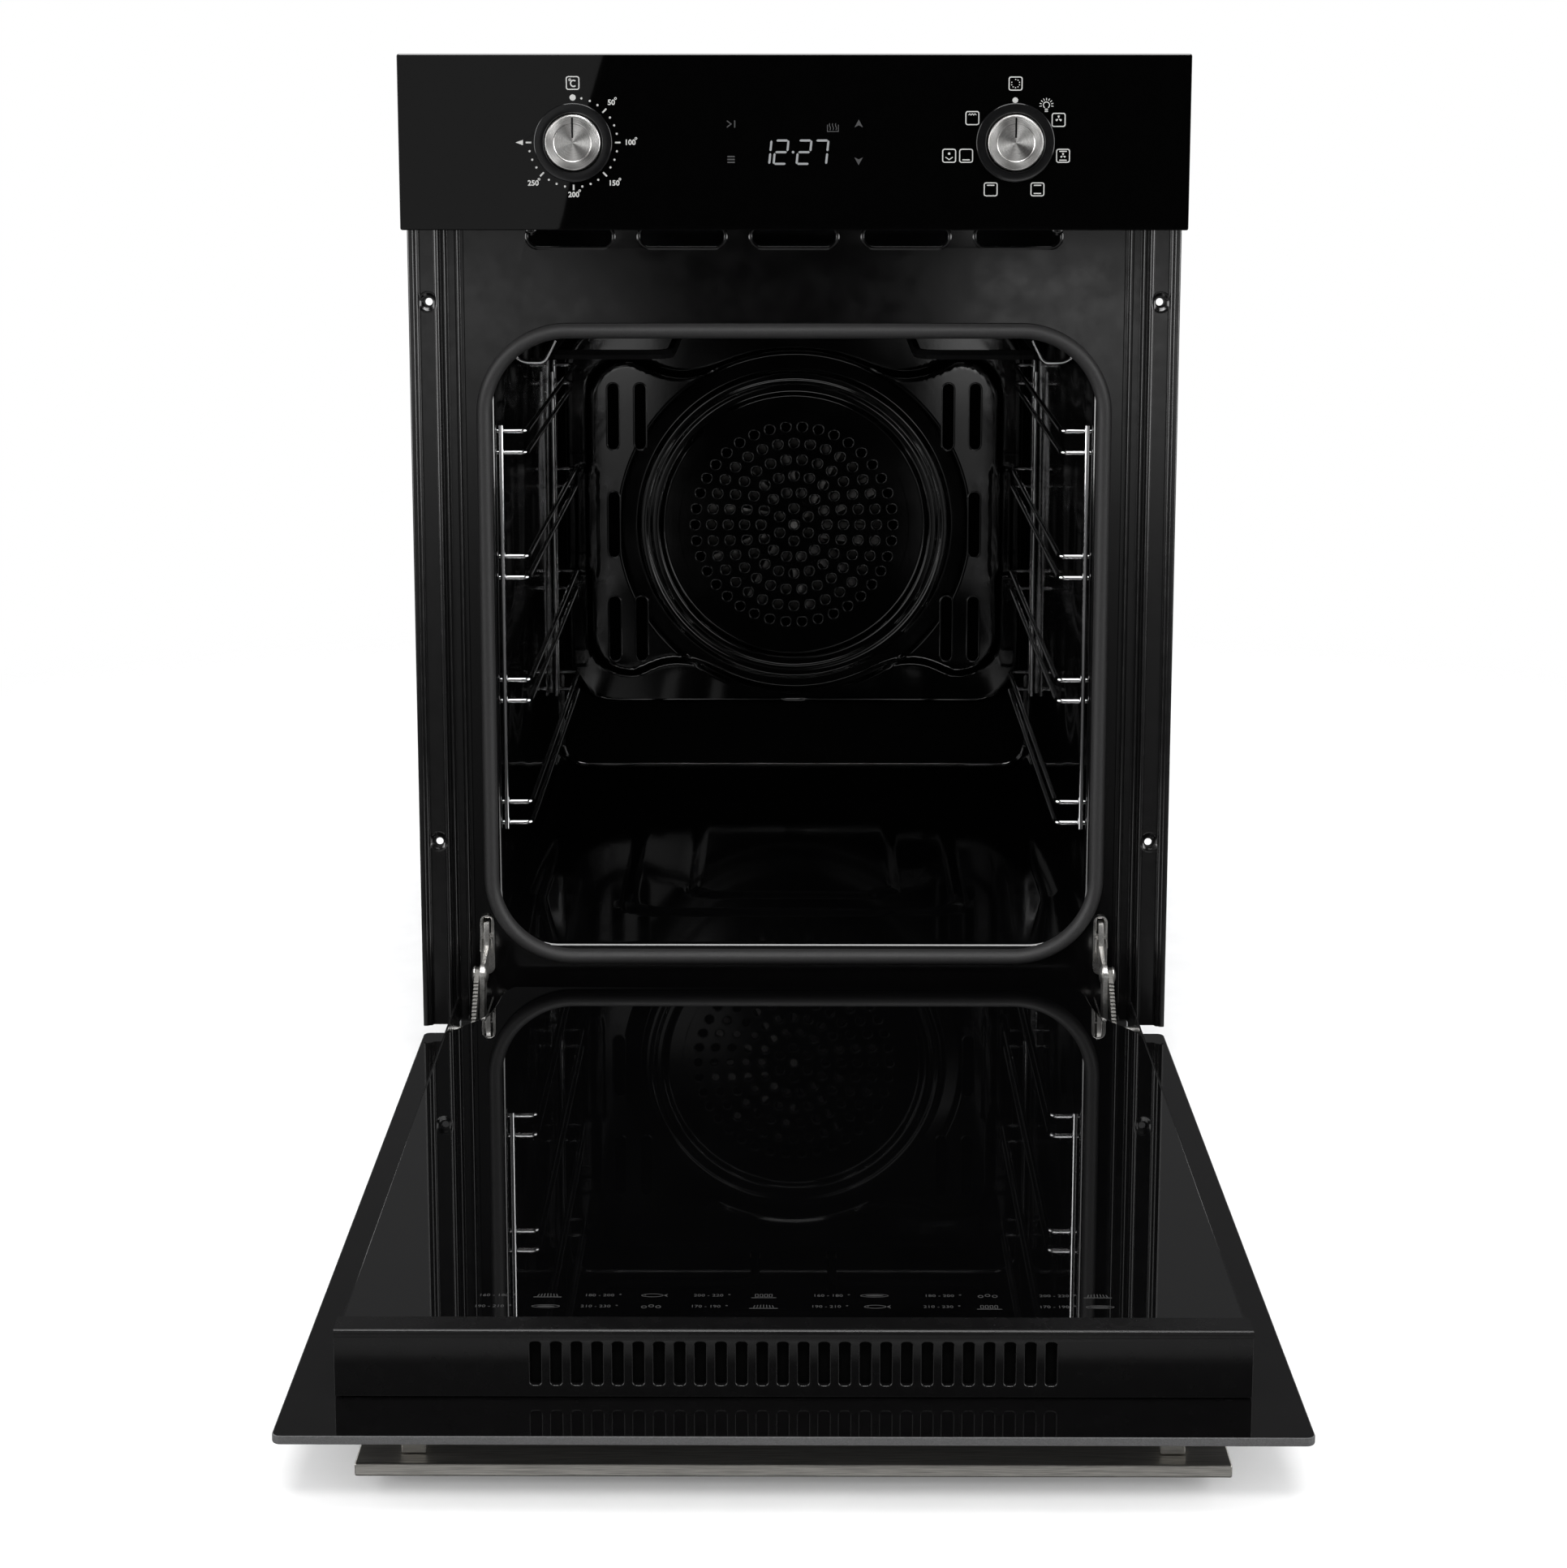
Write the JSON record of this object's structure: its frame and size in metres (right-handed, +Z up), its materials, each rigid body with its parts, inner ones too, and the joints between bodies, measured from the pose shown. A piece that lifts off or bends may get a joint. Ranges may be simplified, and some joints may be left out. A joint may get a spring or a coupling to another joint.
{
  "type": "wall oven",
  "caption": "Slim built-in wall oven with black glass control panel, two pop-out knobs, drop-down door with bar handle, enamelled cavity, wire side racks and fan baffle.",
  "frame": {"origin": "middle of the front lower edge of the cabinet niche: y = 0 is the cabinet's front plane, on which the side flanges rest, and z = 0 is the shelf under the oven", "axes": "+X to the right seen from the room, +Y into the cabinet, +Z up"},
  "size_m": [0.448, 1.0395, 0.6161],
  "materials": {
    "galvanised": "zinc-coated sheet, satin",
    "black_enamel": "glossy vitreous enamel",
    "black_paint": "satin black paint",
    "mineral_wool": "fibrous",
    "element": "oxidised steel tube",
    "zinc": "zinc plated",
    "chrome": "bright chrome wire",
    "seal": "matte silicone",
    "clear_glass": "clear tempered glass",
    "white_plastic": "heat-resistant moulding",
    "black_glass": "black tempered glass, polished",
    "bezel_gloss": "gloss black",
    "black_plastic": "matte black moulding",
    "brushed_steel": "brushed stainless steel"
  },
  "bodies": {
    "chassis": {"base_panel": "galvanised", "top_cover": "galvanised", "side_panel_left": "galvanised", "side_panel_right": "galvanised", "rear_panel": "galvanised", "fan_motor": "galvanised", "air_guide": "galvanised", "blower_housing": "galvanised", "blower_motor": "galvanised", "front_frame": "black_enamel", "cavity_liner": "black_enamel", "fan_baffle": "black_enamel", "side_column_left": "black_paint", "side_column_right": "black_paint", "insulation_blanket": "mineral_wool", "ring_element": "element", "grill_element": "element", "bottom_element": "element", "hinge_receiver_left": "zinc", "hinge_receiver_right": "zinc", "hinge_arm_left": "zinc", "hinge_arm_right": "zinc", "side_rack_left": "chrome", "side_rack_right": "chrome", "element_hanger_left": "chrome", "element_hanger_right": "chrome", "door_seal": "seal", "lamp_lens": "clear_glass", "lamp_housing": "white_plastic", "thermostat": "white_plastic", "function_switch": "white_plastic", "control_panel_glass": "black_glass", "temperature_bezel": "bezel_gloss", "function_bezel": "bezel_gloss", "panel_carrier": "black_plastic", "timer_module": "black_plastic", "terminal_box": "black_plastic", "cable_gland": "black_plastic"},
    "door": {"door_outer_glass": "black_glass", "door_middle_glass": "clear_glass", "door_inner_glass": "black_glass", "glass_holder_front": "seal", "glass_holder_rear": "seal", "door_top_profile": "black_paint", "door_bottom_profile": "black_paint", "door_rail_left": "black_paint", "door_rail_right": "black_paint", "hinge_spring_left": "zinc", "hinge_spring_right": "zinc", "handle_bar": "brushed_steel", "handle_standoff_left": "brushed_steel", "handle_standoff_right": "brushed_steel"},
    "temperature_shaft": {"temperature_shaft": "zinc"},
    "temperature_knob": {"temperature_knob": "brushed_steel"},
    "function_shaft": {"function_shaft": "zinc"},
    "function_knob": {"function_knob": "brushed_steel"},
    "convection_fan": {"convection_fan": "zinc"},
    "cooling_rotor": {"cooling_rotor": "galvanised"},
    "hinge_link_left": {"hinge_link_left": "zinc"},
    "hinge_link_right": {"hinge_link_right": "zinc"}
  },
  "joints": [
    {"name": "door_hinge", "type": "hinge", "parent": "chassis", "child": "door", "pos_m": [0, -0.016, 0.0144], "axis": [-1, 0, 0], "range_deg": [0, 90]},
    {"name": "hinge_link_left_turn", "type": "hinge", "parent": "chassis", "child": "hinge_link_left", "pos_m": [-0.1882, -0.013, 0.048], "axis": [-1, 0, 0], "range_deg": [0, 133.2]},
    {"name": "hinge_link_right_turn", "type": "hinge", "parent": "chassis", "child": "hinge_link_right", "pos_m": [0.1882, -0.013, 0.048], "axis": [-1, 0, 0], "range_deg": [0, 133.2]},
    {"name": "temperature_knob_turn", "type": "hinge", "parent": "chassis", "child": "temperature_shaft", "pos_m": [-0.125, -0.03, 0.543], "axis": [0, 1, 0], "range_deg": [0, 270]},
    {"name": "temperature_knob_pop", "type": "slide", "parent": "temperature_shaft", "child": "temperature_knob", "axis": [0, -1, 0], "range_m": [0, 0.014]},
    {"name": "function_knob_turn", "type": "hinge", "parent": "chassis", "child": "function_shaft", "pos_m": [0.125, -0.03, 0.543], "axis": [0, 1, 0], "continuous": true},
    {"name": "function_knob_pop", "type": "slide", "parent": "function_shaft", "child": "function_knob", "axis": [0, -1, 0], "range_m": [0, 0.014]},
    {"name": "convection_fan_spin", "type": "hinge", "parent": "chassis", "child": "convection_fan", "pos_m": [0, 0.43, 0.247], "axis": [0, 1, 0], "continuous": true},
    {"name": "cooling_rotor_spin", "type": "hinge", "parent": "chassis", "child": "cooling_rotor", "pos_m": [0, 0.42, 0.511], "axis": [1, 0, 0], "continuous": true}
  ],
  "couplings": [
    {"joint": "hinge_link_left_turn", "follows": "door_hinge", "ratio": 1.48},
    {"joint": "hinge_link_right_turn", "follows": "door_hinge", "ratio": 1.48}
  ]
}
